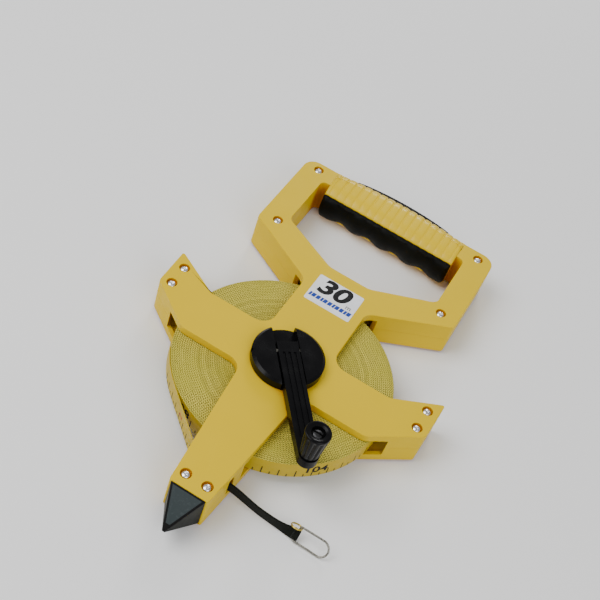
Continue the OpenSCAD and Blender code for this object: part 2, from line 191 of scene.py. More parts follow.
class Nodes:
    """Short calls for building a material's node tree."""

    def __init__(self, name, colour, roughness, metallic=0.0):
        self.material = bpy.data.materials.new(name)
        self.material.use_nodes = True
        self.tree = self.material.node_tree
        self.shader = self.tree.nodes["Principled BSDF"]
        self.shader.inputs["Base Color"].default_value = (*colour, 1)
        self.shader.inputs["Roughness"].default_value = roughness
        self.shader.inputs["Metallic"].default_value = metallic
        self.place = self.new("ShaderNodeTexCoord").outputs["Object"]
        self.bumps = None

    def new(self, kind, **settings):
        node = self.tree.nodes.new(kind)
        for key, value in settings.items():
            setattr(node, key, value)
        return node

    def link(self, source, target):
        if isinstance(source, (int, float)):
            target.default_value = source
        else:
            self.tree.links.new(source, target)

    def math(self, operation, a, b=0.0):
        node = self.new("ShaderNodeMath", operation=operation)
        self.link(a, node.inputs[0])
        self.link(b, node.inputs[1])
        return node.outputs[0]

    def noise(self, scale, detail=3):
        node = self.new("ShaderNodeTexNoise")
        self.link(self.place, node.inputs["Vector"])
        node.inputs["Scale"].default_value = scale
        node.inputs["Detail"].default_value = detail
        return node.outputs["Fac"]

    def ramp(self, value, low, high, start=0.0, end=1.0):
        node = self.new("ShaderNodeMapRange", interpolation_type="SMOOTHSTEP")
        self.link(value, node.inputs["Value"])
        node.inputs["From Min"].default_value = low
        node.inputs["From Max"].default_value = high
        node.inputs["To Min"].default_value = start
        node.inputs["To Max"].default_value = end
        return node.outputs["Result"]

    def mix(self, amount, a, b):
        node = self.new("ShaderNodeMix", data_type="RGBA")
        self.link(amount, node.inputs["Factor"])
        for source, socket in ((a, node.inputs[6]), (b, node.inputs[7])):
            if isinstance(source, tuple):
                socket.default_value = (*source, 1)
            else:
                self.tree.links.new(source, socket)
        return node.outputs[2]

    def colour(self, source):
        self.tree.links.new(source, self.shader.inputs["Base Color"])

    def roughness(self, source):
        self.tree.links.new(source, self.shader.inputs["Roughness"])

    def bump(self, height, strength, distance):
        node = self.new("ShaderNodeBump")
        node.inputs["Strength"].default_value = strength
        node.inputs["Distance"].default_value = distance * MM
        self.link(height, node.inputs["Height"])
        if self.bumps:
            self.tree.links.new(self.bumps, node.inputs["Normal"])
        self.bumps = node.outputs[0]
        self.tree.links.new(self.bumps, self.shader.inputs["Normal"])

    def polar(self):
        """Distance from the spool's axis in mm, and angle round it in radians."""
        x, y, _ = self.split()
        square = self.math("ADD", self.math("MULTIPLY", x, x), self.math("MULTIPLY", y, y))
        radius = self.math("MULTIPLY", self.math("SQRT", square), 1 / MM)
        return radius, self.math("ARCTAN2", y, x)

    def split(self):
        """The X, Y and Z of the place on the object, in metres."""
        node = self.new("ShaderNodeSeparateXYZ")
        self.link(self.place, node.inputs[0])
        return node.outputs["X"], node.outputs["Y"], node.outputs["Z"]

    def scuffs(self, base, worn):
        """Colour that drifts over the surface and pales along its edges and in fine rubbed patches."""
        drift = self.ramp(self.noise(18, 4), 0.3, 0.7)
        tone = self.mix(self.math("MULTIPLY", drift, 0.35), base, tuple(min(1, c * 0.9) for c in base))
        edge = self.ramp(self.new("ShaderNodeNewGeometry").outputs["Pointiness"], 0.54, 0.64)
        patches = self.ramp(self.noise(700, 5), 0.5, 0.8)
        return self.mix(self.math("MULTIPLY", self.math("MULTIPLY", edge, patches), 0.3), tone, worn)


def moulded(name, colour, worn, rough, grain=0.35, spec=0.5, painted_shade_colour=None):
    """Moulded plastic: fine grain, slight drift of colour and gloss, paler edges, and painted shade: a deep
    colour mixed into hollows and between parts by ambient occlusion.
    """
    m = Nodes(name, colour, rough)
    tone = m.scuffs(colour, worn)
    # Painted shade: ambient occlusion darkens hollows, corners and gaps between parts toward the given deep
    # colour.
    if painted_shade_colour:
        shade = m.new("ShaderNodeAmbientOcclusion", samples=16)
        shade.inputs["Distance"].default_value = 14 * MM
        painted_shade_amount = m.ramp(shade.outputs["AO"], 0.12, 0.72, 1.0, 0.0)
        tone = m.mix(painted_shade_amount, tone, painted_shade_colour)
    m.colour(tone)
    m.roughness(m.ramp(m.noise(90, 5), 0.25, 0.8, rough - 0.06, rough + 0.09))
    m.bump(m.noise(2600, 2), grain, 0.03)
    m.bump(m.noise(45, 2), 0.25, 0.12)
    m.shader.inputs["Specular IOR Level"].default_value = spec
    return m.material


def rubber(name):
    """Black grip rubber with a fine, slightly rough skin."""
    m = Nodes(name, (0.006, 0.007, 0.006), 0.5)
    m.shader.inputs["Specular IOR Level"].default_value = 0.1
    m.colour(m.mix(m.ramp(m.noise(60, 6), 0.35, 0.8), (0.0018, 0.002, 0.0015), (0.0045, 0.005, 0.004)))
    m.roughness(m.ramp(m.noise(300, 4), 0.3, 0.8, 0.42, 0.6))
    m.bump(m.noise(1800, 3), 0.5, 0.05)
    return m.material


def metal(name, colour, rough):
    """Worn metal: faint stains, patchy gloss and fine scratches."""
    m = Nodes(name, colour, rough, 1.0)
    stain = m.ramp(m.noise(220, 6), 0.45, 0.8)
    m.colour(m.mix(m.math("MULTIPLY", stain, 0.25), colour, tuple(c * 0.55 for c in colour)))
    m.roughness(m.ramp(m.noise(900, 4), 0.3, 0.75, rough * 0.7, rough * 1.5))
    m.bump(m.noise(1500, 3), 0.2, 0.02)
    return m.material


def wound_edge(name):
    """Edges of the wound turns of woven tape: rippled rows of thread ends, each row set on from the last."""
    turn_pitch, thread_pitch, ripples = 1.35, 1.7, 210
    m = Nodes(name, (0.5, 0.42, 0.12), 0.75)
    radius, angle = m.polar()
    wobble = m.math("MULTIPLY", m.math("SUBTRACT", m.noise(55, 3), 0.5), 0.9)
    ripple = m.math("MULTIPLY", m.math("SINE", m.math("MULTIPLY", angle, ripples)), 0.34)
    row = m.math("DIVIDE", m.math("ADD", m.math("ADD", radius, wobble), ripple), turn_pitch)
    number = m.math("FLOOR", row)
    pick = m.new("ShaderNodeTexWhiteNoise", noise_dimensions="1D")
    m.link(number, pick.inputs["W"])
    per_row = math.tau * turn_pitch / thread_pitch
    threads = m.math("ROUND", m.math("MULTIPLY", m.math("ADD", number, 0.5), per_row))
    along = m.math("MULTIPLY", angle, threads)
    picked = m.math("MULTIPLY", pick.outputs["Value"], 4.5)
    shift = m.math("ADD", m.math("MULTIPLY", number, math.pi), picked)
    waver = m.math("MULTIPLY", m.noise(220, 3), 7.0)
    dots = m.math("SINE", m.math("ADD", m.math("ADD", along, shift), waver))
    across = m.math("COSINE", m.math("MULTIPLY", m.math("FRACT", row), math.tau))
    weave = m.math("SUBTRACT", m.math("MULTIPLY", dots, 0.32), m.math("MULTIPLY", across, 0.62))
    bright = m.ramp(m.math("ADD", weave, m.math("MULTIPLY", m.noise(900, 2), 0.5)), -0.42, 0.55)
    tone = m.mix(bright, (0.09, 0.072, 0.003), (0.8, 0.69, 0.09))
    tint = m.ramp(m.noise(70, 5), 0.35, 0.7)
    tone = m.mix(m.math("MULTIPLY", tint, 0.35), tone, (0.5, 0.45, 0.03))
    lot = m.new("ShaderNodeTexWhiteNoise", noise_dimensions="1D")
    m.link(m.math("FLOOR", m.math("MULTIPLY", number, 0.5)), lot.inputs["W"])
    m.colour(m.mix(m.math("MULTIPLY", lot.outputs["Value"], 0.3), tone, (0.2, 0.17, 0.02)))
    m.bump(weave, 0.8, 0.3)
    m.shader.inputs["Specular IOR Level"].default_value = 0.25
    return m.material


def tape_face(name):
    """Printed face of the woven tape: yellow coating over a fine plain weave."""
    m = Nodes(name, (0.6, 0.44, 0.03), 0.42)
    drift = m.ramp(m.noise(40, 5), 0.3, 0.75)
    m.colour(m.mix(drift, (0.5, 0.35, 0.0), (0.6, 0.43, 0.004)))
    m.shader.inputs["Specular IOR Level"].default_value = 0.25
    m.roughness(m.ramp(m.noise(500, 3), 0.3, 0.8, 0.36, 0.52))
    radius, angle = m.polar()
    _, _, z = m.split()
    warp = m.math("SINE", m.math("MULTIPLY", m.math("MULTIPLY", angle, radius), math.tau / 0.8))
    weft = m.math("SINE", m.math("MULTIPLY", z, math.tau / (0.6 * MM)))
    m.bump(m.math("MULTIPLY", warp, weft), 0.35, 0.06)
    return m.material


def webbing(name):
    """Black nylon webbing: diagonal ribs across the strap with a dusty sheen."""
    rib_pitch, cross_pitch = 1.1 * MM, 0.7 * MM
    m = Nodes(name, (0.012, 0.014, 0.011), 0.75)
    x, _, z = m.split()
    rib = m.math("SINE", m.math("MULTIPLY", m.math("ADD", x, z), math.tau / rib_pitch))
    cross = m.math("SINE", m.math("MULTIPLY", m.math("SUBTRACT", z, x), math.tau / cross_pitch))
    weave = m.math("ADD", m.math("MULTIPLY", rib, 0.35), m.math("MULTIPLY", cross, 0.15))
    light = m.ramp(weave, -0.5, 0.5)
    fuzz = m.ramp(m.noise(700, 4), 0.3, 0.8)
    tone = m.mix(light, (0.002, 0.0025, 0.0018), (0.008, 0.0095, 0.0065))
    m.colour(m.mix(m.math("MULTIPLY", fuzz, 0.4), tone, (0.011, 0.0125, 0.009)))
    m.bump(weave, 0.7, 0.12)
    m.shader.inputs["Sheen Weight"].default_value = 0.03
    m.shader.inputs["Specular IOR Level"].default_value = 0.1
    return m.material


def ink(name, colour, rough=0.5):
    """Printing ink, or thread, with slight unevenness."""
    m = Nodes(name, colour, rough)
    lighter = tuple(min(1, c * 1.25 + 0.008) for c in colour)
    m.colour(m.mix(m.ramp(m.noise(900, 4), 0.35, 0.8), colour, lighter))
    m.roughness(m.ramp(m.noise(600, 3), 0.3, 0.8, rough - 0.08, rough + 0.1))
    m.shader.inputs["Specular IOR Level"].default_value = 0.15
    return m.material


def sticker(name):
    """White vinyl with faint soiling."""
    m = Nodes(name, (0.83, 0.84, 0.87), 0.3)
    m.colour(m.mix(m.ramp(m.noise(110, 5), 0.35, 0.8), (0.84, 0.85, 0.88), (0.76, 0.77, 0.8)))
    m.roughness(m.ramp(m.noise(140, 4), 0.3, 0.8, 0.24, 0.4))
    m.bump(m.noise(220, 3), 0.15, 0.05)
    return m.material


def make_materials():
    return {
        # The yellow plastics' deep orange colours are painted shade for their hollows and the gaps between
        # parts.
        "yellow": moulded("frame_yellow_plastic", (0.74, 0.51, 0.0), (0.8, 0.59, 0.03), 0.42,
                          spec=0.12, painted_shade_colour=(0.46, 0.13, 0.003)),
        "grip": moulded("grip_yellow_plastic", (0.76, 0.525, 0.0), (0.82, 0.61, 0.03), 0.33, spec=0.3,
                        painted_shade_colour=(0.6, 0.3, 0.0)),
        "black": moulded("crank_black_plastic", (0.0032, 0.0032, 0.0038), (0.012, 0.012, 0.013), 0.22,
                         spec=0.13),
        "spike": moulded("spike_grey_plastic", (0.024, 0.034, 0.036), (0.06, 0.08, 0.08), 0.45,
                         grain=0.6, spec=0.2),
        # The side faces take a darker copy of the spike's grey plastic: painted shade for faces turned from
        # the light.
        "spike_side_painted_shade": moulded("spike_side_plastic", (0.014, 0.016, 0.013), (0.04, 0.04, 0.04), 0.5,
                              grain=0.6, spec=0.12),
        "spike_edge": moulded("spike_edge_plastic", (0.002, 0.002, 0.002), (0.01, 0.01, 0.01), 0.4,
                              spec=0.1),
        "nylon": moulded("bush_nylon", (0.62, 0.6, 0.54), (0.75, 0.73, 0.68), 0.45),
        "rubber": rubber("grip_rubber"),
        "chrome": metal("screw_chrome", (0.82, 0.83, 0.85), 0.2),
        "steel": metal("wire_steel", (0.33, 0.32, 0.28), 0.3),
        "dark_steel": metal("knob_screw_steel", (0.05, 0.05, 0.052), 0.35),
        "brass": metal("ring_brass", (0.6, 0.46, 0.1), 0.32),
        "tape_edge": wound_edge("tape_wound_edges"),
        "tape_face": tape_face("tape_printed_face"),
        "webbing": webbing("strap_webbing"),
        "thread": ink("strap_thread", (0.03, 0.033, 0.03), 0.8),
        "ink_black": ink("printed_black", (0.003, 0.003, 0.0035)),
        "ink_red": ink("printed_red", (0.45, 0.03, 0.02)),
        "ink_blue": ink("printed_blue", (0.012, 0.045, 0.3)),
        "ink_grey": ink("printed_grey", (0.12, 0.12, 0.11)),
        "label": sticker("label_vinyl"),
    }


# --- Leader strap, hem and hook -------------------------------------------------------

# Middle line of the leader strap in metres, as the CAD model has it, and its lean in degrees
STRAP_ROUTE = [
    (0.003, -0.089325, 0.0145, 0), (0.009, -0.089325, 0.0145, 0), (0.015, -0.089325, 0.0143, 0),
    (0.019, -0.0891, 0.0134, 0), (0.023, -0.0889, 0.012, 0), (0.027, -0.0888, 0.0106, -1),
    (0.031, -0.0886, 0.0091, -2), (0.035, -0.0884, 0.0077, -2), (0.039, -0.088, 0.0065, -1),
    (0.043, -0.0876, 0.0054, 0), (0.047, -0.0872, 0.0045, 2), (0.05, -0.0869, 0.004, 6),
    (0.053, -0.0867, 0.0038, 14), (0.0555, -0.0866, 0.0039, 24), (0.0575, -0.0865, 0.0042, 35),
    (0.0585, -0.0865, 0.0044, 40), (0.0592, -0.0865, 0.00445, 42),
]
STRAP_WIDTH, STRAP_THICK = 7.0, 1.2
HEM_AT, HOOK_LEAN = Vector((60.8, -86.5, 4.45)), 42
HEM_HALF_W, HEM_HALF_T = 3.3, 1.4
HOOK_MID, HOOK_HALF_W, HOOK_WIRE = 0.4, 4.9, 0.6
RING_X, RING_W, RING_R, RING_WIRE, RING_LEAN = -2.3, 4.2, 3.5, 0.4, -7


def hem_point(x, y, z):
    """A point of the leaning frame at the strap's end: X along the strap, Y up its width."""
    turn = Matrix.Rotation(math.radians(90 - HOOK_LEAN), 3, "X")
    return HEM_AT + turn @ Vector((x, y, z))


def strap_frames():
    """Points along the strap with the directions across its width and through its thickness."""
    route = smooth_path([(x / MM, y / MM, z / MM, lean) for x, y, z, lean in STRAP_ROUTE], 5)
    frames = []
    for i, (x, y, z, lean) in enumerate(route):
        before, after = route[max(0, i - 1)], route[min(len(route) - 1, i + 1)]
        ahead = Vector((after[0] - before[0], after[1] - before[1], 0)).normalized()
        back = Vector((-ahead.y, ahead.x, 0))
        angle = math.radians(lean)
        across = back * math.sin(angle) + Vector((0, 0, math.cos(angle)))
        through = Vector((0, 0, math.sin(angle))) - back * math.cos(angle)
        frames.append((Vector((x, y, z)), across, through))
    return frames


def make_webbing(materials):
    """The strap itself, its selvedges a little thicker than its middle."""
    half_w, half_t = STRAP_WIDTH / 2, STRAP_THICK / 2
    section = []
    for sign in (1, -1):
        for share in (-1, -0.93, -0.8, -0.4, 0, 0.4, 0.8, 0.93, 1):
            edge = abs(share)
            thick = half_t * (0.62 if edge == 1 else 1.0 if edge > 0.9 else 0.94)
            section.append((share * sign * half_w, sign * thick))
    rings = [
        [p + across * w + through * t for w, t in section]
        for p, across, through in strap_frames()
    ]
    bm = bmesh.new()
    add_loft(bm, rings)
    return place(bm, "strap", materials["webbing"], "frame", ["leader_strap"], sharp=50)


def make_hem(materials):
    """Folded end of the strap round the hook's straight bar."""
    bm = bmesh.new()
    t = HEM_HALF_T
    bends = [math.pi * k / 8 for k in range(1, 8)]
    outline = [(-1.6, -t * 0.62), (-0.8, -t * 0.95), (0, -t)]
    outline += [(t * math.sin(a), -t * math.cos(a)) for a in bends]
    outline += [(0, t), (-0.8, t * 0.95), (-1.6, t * 0.62)]
    rings = []
    edge = [(HEM_HALF_W - 0.4, 1), (HEM_HALF_W - 0.15, 0.94), (HEM_HALF_W, 0.8)]
    for y, shrink in [(-y, shrink) for y, shrink in reversed(edge)] + edge:
        rings.append([hem_point(x if x < 0 else x * shrink, y, z * shrink) for x, z in outline])
    add_loft(bm, rings)
    return place(bm, "hem", materials["webbing"], "frame", ["strap_hem"], sharp=60)


def make_stitches(materials):
    """Two rows of stitches across the strap, behind its hem."""
    row_half_w, per_row, thread_r = 2.6, 6, 0.13
    bm = bmesh.new()
    frames = strap_frames()
    for p, across, through in (frames[-4], frames[-7]):
        ahead = across.cross(through)
        slope = across * 0.36 + ahead * 0.08
        for k in range(per_row):
            middle = p + across * (-row_half_w + 2 * row_half_w * k / (per_row - 1))
            for out in (through, -through):
                skin = middle + out * (STRAP_THICK / 2 + 0.02)
                path = [skin - slope - out * 0.1, skin - slope * 0.6 + out * 0.06,
                        skin + slope * 0.6 + out * 0.06, skin + slope - out * 0.1]
                add_loft(bm, tube_rings(path, thread_r, 6))
    return place(bm, "strap_stitches", materials["thread"], "frame")


def make_hook(materials):
    """Closed wire loop, wider towards its round end, with its straight bar in the hem."""
    low, high = HOOK_MID - HOOK_HALF_W, HOOK_MID + HOOK_HALF_W
    corners = [(0, low + 0.9), (0, high - 0.6), (0.6, high), (6, high), (13, high + 0.02),
               (16.4, high - 0.25), (18.8, 3.5), (20.0, 1.2), (19.9, -1.2), (18.6, -3.2), (16.4, -4.35),
               (13.6, -4.4), (8.3, -4.2), (1.2, low + 0.35)]
    loop = corners[-1:] + corners + corners[:2]
    path = []
    for stretch in zip(loop, loop[1:], loop[2:], loop[3:]):
        path += [(*spline(*stretch, k / 6), 0) for k in range(6)]
    bm = bmesh.new()
    add_loft(bm, tube_rings([hem_point(*p) for p in path], HOOK_WIRE * 1.08, 14, closed=True), closed=True)
    return place(bm, "hook_wire", materials["steel"], "hook", ["hook_loop"])


def make_ring(materials):
    """Small split ring of round wire, its two turns side by side."""
    tilt = Matrix.Rotation(math.radians(90 - RING_LEAN), 3, "X")
    bm = bmesh.new()
    for offset in (-0.24, 0.24):
        path = []
        for k in range(48):
            a = math.tau * k / 48
            spot = tilt @ Vector((RING_R * math.cos(a), RING_R * math.sin(a), offset))
            path.append(hem_point(RING_X + spot.x, RING_W + spot.y, spot.z))
        add_loft(bm, tube_rings(path, RING_WIRE * 0.75, 10, closed=True), closed=True)
    return place(bm, "ring_wire", materials["brass"], "frame", ["strap_ring"])


def declare_strap():
    line = [p * MM for p, _, _ in strap_frames()]


# --- Frame ----------------------------------------------------------------------------

FRONT_Z, REAR_Z, SEAM_Z = 27.0, 2.0, 14.5
SCREW_SITES = [(64.5, 166), (63, 102), (88.3, 23), (88, 7.5), (7, -104.6)]
RECESS_R, RECESS_D, HEAD_R, SHANK_R = 3.5, 2.0, 2.7, 1.45
BEARING_R = 21


def screw_places():
    return [(side * x, y) for x, y in SCREW_SITES for side in (1, -1)]


def near_round_hole(p):
    """True on the rims of the screw recesses and of the bearing holes."""
    if p.xy.length < BEARING_R:
        return True
    return any((p.xy - Vector(q)).length < RECESS_R + 0.4 for q in screw_places())


def make_shells(materials):
    """Both halves of the frame, softly rounded on their faces and finely on the seam and inner edges."""
    def radius_for(face_z):
        def radius(p):
            if near_round_hole(p):
                return 0.25
            if abs(p.z - face_z) < 0.05:
                return 1.3
            if abs(p.z - SEAM_Z) < 0.05:
                return 0.55
            return 0.3
        return radius
    for node, face_z in (("front_shell", FRONT_Z), ("rear_shell", REAR_Z)):
        rounded_copy(node, materials["yellow"], "frame", radius_for(face_z))


def make_screws(materials):
    """Domed heads with a cross recess, in the shells' round recesses, and their shanks."""
    bm = bmesh.new()
    seat = FRONT_Z - RECESS_D
    sides, twist = 48, 37
    head_radii = [0.25, 0.5, 0.75, 1.0, 1.25, 1.5, 1.8, 2.1, 2.4, 2.6, HEAD_R]
    angles = [math.tau * k / sides for k in range(sides)]
    for index, (x, y) in enumerate(screw_places()):
        turn = math.radians(twist * index)
        def height(r, angle):
            dome = 1.7 * math.sqrt(max(0, 1 - (r / 2.9) ** 2))
            u, v = r * math.cos(angle - turn), r * math.sin(angle - turn)
            arms = max(0, 1 - max(0, min(abs(u), abs(v)) - 0.08) / 0.16)
            return seat + dome + 0.1 - 0.35 * arms * max(0, 1 - (r / 1.1) ** 6)
        rings = [[(r, height(r, a)) for a in angles] for r in head_radii]
        shank = ((HEAD_R, seat + 0.02), (SHANK_R, seat + 0.02), (SHANK_R, SEAM_Z - 7))
        rings += [[spot] * sides for spot in shank]
        rows = [
            [bm.verts.new((x + r * math.cos(a), y + r * math.sin(a), z)) for a, (r, z) in zip(angles, ring)]
            for ring in rings
        ]
        top = bm.verts.new((x, y, height(0, 0)))
        for j in range(sides):
            k = (j + 1) % sides
            bm.faces.new((top, rows[0][k], rows[0][j]))
            for here, there in zip(rows, rows[1:]):
                bm.faces.new((here[j], here[k], there[k], there[j]))
        bm.faces.new(rows[-1])
    place(bm, "screws", materials["chrome"], "frame", ["shell_screws"], sharp=50)


# --- Grip -----------------------------------------------------------------------------

GRIP_HALF, GRIP_TOP, GRIP_ARCH = 51.0, 181.0, 4.0
SEAT_Y, NOSE_Y, NOSE_R = 150.75, 160.8, 13.7
RIB_PITCH, RIB_DEPTH = 6.0, 0.3
# The hole through the grip, a hair wider than the handle's bar
BAR_Y0, BAR_Y1, BAR_HALF_T = 157.96, 173.04, 12.54


def grip_outer(x):
    return GRIP_TOP - GRIP_ARCH * (x / GRIP_HALF) ** 2


def grip_stations():
    """Positions along the grip: close together at the ribs' grooves and at the rounded ends."""
    places = {-GRIP_HALF, GRIP_HALF}
    for groove in range(-8, 9):
        for step in (-1.5, -0.9, -0.6, -0.35, -0.15, 0, 0.15, 0.35, 0.6, 0.9, 1.5, 3):
            places.add(round(groove * RIB_PITCH + step, 3))
    for step in (0.05, 0.2, 0.5, 0.9, 1.4, 2, 2.6):
        places.update((GRIP_HALF - step, step - GRIP_HALF))
    return sorted(x for x in places if abs(x) <= GRIP_HALF)


def grip_inset(x):
    """How far the grip's skin lies below its full shape, from the ribs and the rounded ends."""
    nearest = abs(x - RIB_PITCH * round(x / RIB_PITCH))
    groove = RIB_DEPTH * math.exp(-(nearest / 0.5) ** 2) + 0.22 * (1 - nearest / (RIB_PITCH / 2)) ** 2
    end = GRIP_HALF - abs(x)
    rounding = 2.4
    if end < rounding:
        groove += 0.7 * (rounding - math.sqrt(max(0, rounding ** 2 - (rounding - end) ** 2)))
    return groove


def make_grip(materials):
    """Front and rear halves of the ribbed grip, wrapped round the handle's bar."""
    seat_angle = math.acos((NOSE_Y - SEAT_Y) / NOSE_R)
    crown_y, crown_z, back_r = 170.5, 14.5, 10.5
    for side, node in ((1, "grip_front"), (-1, "grip_rear")):
        rings = []
        for x in grip_stations():
            inset = grip_inset(x)
            outer, nose_r = grip_outer(x) - inset, NOSE_R - inset * 0.8
            skin = [(SEAT_Y + inset * 0.3, 0.0)]
            for k in range(9):
                a = seat_angle + (math.radians(86) - seat_angle) * k / 8
                skin.append((NOSE_Y - nose_r * math.cos(a), nose_r * math.sin(a)))
            skin.append((crown_y - 4.5, crown_z - 0.25 - inset))
            skin.append((crown_y - 1.5, crown_z - 0.02 - inset))
            centre_y, centre_z = outer - back_r, crown_z - inset - back_r
            for k in range(13):
                a = math.pi / 2 * k / 12
                skin.append((centre_y + back_r * math.sin(a), centre_z + back_r * math.cos(a)))
            skin.append((outer, 0.0))
            skin += [(BAR_Y1, 0.0), (BAR_Y1, BAR_HALF_T), (BAR_Y0, BAR_HALF_T), (BAR_Y0, 0.0)]
            rings.append([(x, y, SEAM_Z + side * (z + 0.02)) for y, z in skin])
        bm = bmesh.new()
        add_loft(bm, rings)
        piece = place(bm, node + "_ribbed", materials["grip"], "frame", [node], sharp=50)
        weigh_normals(piece)


INSERT_HALF, INSERT_ANGLE = 50.8, 43.0
FINGER_PITCH, FINGER_DEPTH = 21.4, 2.2


def finger_hollow(x):
    """Depth of the four finger hollows in the rubber insert."""
    if abs(x) > 2 * FINGER_PITCH:
        return 0.0
    return FINGER_DEPTH * (0.5 - 0.5 * math.cos(math.tau * x / FINGER_PITCH)) ** 1.1


def make_finger_insert(materials):
    """Rubber on the grip's nose: scalloped edges, and finger hollows inside a raised border."""
    end_r = 3.2
    rings = []
    ends = {sign * (INSERT_HALF - step) for sign in (1, -1) for step in (0, 0.15, 0.45, 0.9, 1.5, 2.2, 3)}
    stations = sorted(ends | {0.75 * k for k in range(-63, 64)})
    for x in stations:
        end = INSERT_HALF - abs(x)
        close = end_r - math.sqrt(max(0, end_r ** 2 - (end_r - end) ** 2)) if end < end_r else 0
        scallop = 0.55 * abs(math.sin(math.pi * (x - 3) / RIB_PITCH)) ** 0.6
        half_angle = INSERT_ANGLE - 2.6 + 2.4 * scallop
        ring = []
        for k in range(25):
            share = -1 + k / 12
            a = math.radians(half_angle * share)
            border = min(1, max(0, (1 - abs(share)) / 0.16))
            inside = min(1, max(0, (0.84 - share) / 0.14))
            depth = finger_hollow(x) * inside * inside * (3 - 2 * inside)
            r = NOSE_R + 0.4 + 0.75 * border ** 0.5 + 0.5 * inside - depth - close * (0.4 + 0.6 * inside)
            ring.append((x, NOSE_Y - r * math.cos(a), SEAM_Z + r * math.sin(a)))
        back = SEAT_Y - 0.02
        first, last = ring[0], ring[-1]
        ring.append((x, max(back, last[1] + 0.05), last[2] - 0.05))
        ring.append((x, max(back, first[1] + 0.05), first[2] + 0.05))
        rings.append(ring)
    bm = bmesh.new()
    add_loft(bm, rings)
    place(bm, "finger_rubber", materials["rubber"], "frame", ["finger_insert"], sharp=40)


def make_back_strip(materials):
    """Rubber strip along the outside of the grip, proud of it in the middle."""
    rings = []
    half, z_half, back_y, end_r, stations = 38.0, 9.8, 173.3, 1.2, 60
    for i in range(stations + 1):
        x = -half + 2 * half * i / stations
        end = half - abs(x)
        close = end_r - math.sqrt(max(0, end_r ** 2 - (end_r - end) ** 2)) if end < end_r else 0
        proud = 2.3 * max(0, 1 - (x / half) ** 2) ** 0.6
        outer = grip_outer(x) + proud - close
        ring = [(x, back_y, SEAM_Z - z_half), (x, back_y, SEAM_Z + z_half)]
        for k in range(9):
            a = math.pi * k / 8
            lift = math.sin(a) ** 0.3 if 0 < k < 8 else 0
            ring.append((x, outer - 1.6 + 1.6 * lift, SEAM_Z + (z_half - close) * math.cos(a)))
        rings.append(ring)
    bm = bmesh.new()
    add_loft(bm, rings)
    place(bm, "back_rubber", materials["rubber"], "frame", ["grip_back_strip"], sharp=60)


# --- Label ----------------------------------------------------------------------------

LABEL_HALF_W, LABEL_Y0, LABEL_Y1, LABEL_THICK = 16.6, 52.8, 78.0, 0.25
PRINT_THICK = 0.03


def text_solid(body, size, bold, half_thick, slant=0.0, curve_steps=12):
    """Printed characters as a bmesh round the origin."""
    curve = bpy.data.curves.new("characters", "FONT")
    curve.body = body
    curve.size = size
    curve.offset = bold
    curve.shear = slant
    curve.extrude = half_thick
    curve.align_x = "CENTER"
    curve.align_y = "CENTER"
    curve.resolution_u = curve_steps
    holder = bpy.data.objects.new("characters", curve)
    bpy.context.scene.collection.objects.link(holder)
    bpy.context.view_layer.update()
    mesh = bpy.data.meshes.new_from_object(holder.evaluated_get(bpy.context.evaluated_depsgraph_get()))
    bpy.data.objects.remove(holder)
    bm = bmesh.new()
    bm.from_mesh(mesh)
    bpy.data.meshes.remove(mesh)
    return bm


def label_text(name, body, material, size, at, bold, z0, slant, wide=1.0):
    """Characters printed on the label; at is their middle."""
    bm = text_solid(body, size, bold, PRINT_THICK / 2, slant, 6)
    bmesh.ops.scale(bm, vec=(wide, 1, 1), verts=bm.verts[:])
    bmesh.ops.translate(bm, vec=(*at, z0 + PRINT_THICK / 2), verts=bm.verts[:])
    place(bm, name, material, "frame")


def make_label(materials):
    """Round-cornered sticker with a bold number, its unit and a row of plain slanted blue bars."""
    top = FRONT_Z + LABEL_THICK
    width, height = 2 * LABEL_HALF_W, LABEL_Y1 - LABEL_Y0
    middle = (LABEL_Y0 + LABEL_Y1) / 2
    corner = 1.1
    outline = []
    for cx, cy, start in ((1, 1, 0), (-1, 1, 90), (-1, -1, 180), (1, -1, 270)):
        for k in range(6):
            a = math.radians(start + 90 * k / 5)
            outline.append((cx * (LABEL_HALF_W - corner) + corner * math.cos(a),
                            middle + cy * (height / 2 - corner) + corner * math.sin(a)))
    centre = Vector((0, middle))
    rings = []
    for z, shrink in ((FRONT_Z, 1), (top - 0.06, 1), (top, 0.9965)):
        rings.append([(*(centre + (Vector(p) - centre) * shrink), z) for p in outline])
    bm = bmesh.new()
    add_loft(bm, rings)
    place(bm, "label_sticker", materials["label"], "frame", ["label"])
    left = -LABEL_HALF_W
    label_text("label_30", "30", materials["ink_black"], 18.6,
               (left + width * 0.42, LABEL_Y0 + height * 0.665), 0.7, top, slant=0.2, wide=1.16)
    label_text("label_m", "m", materials["ink_grey"], 5.2,
               (left + width * 0.845, LABEL_Y0 + height * 0.42), 0.06, top, slant=0)
    bm = bmesh.new()
    x, base, tall, lean = left + width * 0.035, LABEL_Y0 + height * 0.165, height * 0.135, 0.6
    for index in range(11):
        pitch = 3.3 if index % 3 else 2.0
        end = x + pitch * 0.8
        bar = [(x, base), (end, base), (end + lean, base + tall), (x + lean, base + tall)]
        add_loft(bm, [[(*corner_at, z) for corner_at in bar] for z in (top, top + PRINT_THICK)])
        x += pitch
    place(bm, "label_blue_marks", materials["ink_blue"], "frame")


# --- Leg and spike --------------------------------------------------------------------

SPIKE_BASE_Y, SPIKE_TIP_Y, SPIKE_HALF_X, SPIKE_HALF_Z, TIP_HALF_X = -113.0, -135.0, 11.2, 11.8, 0.9


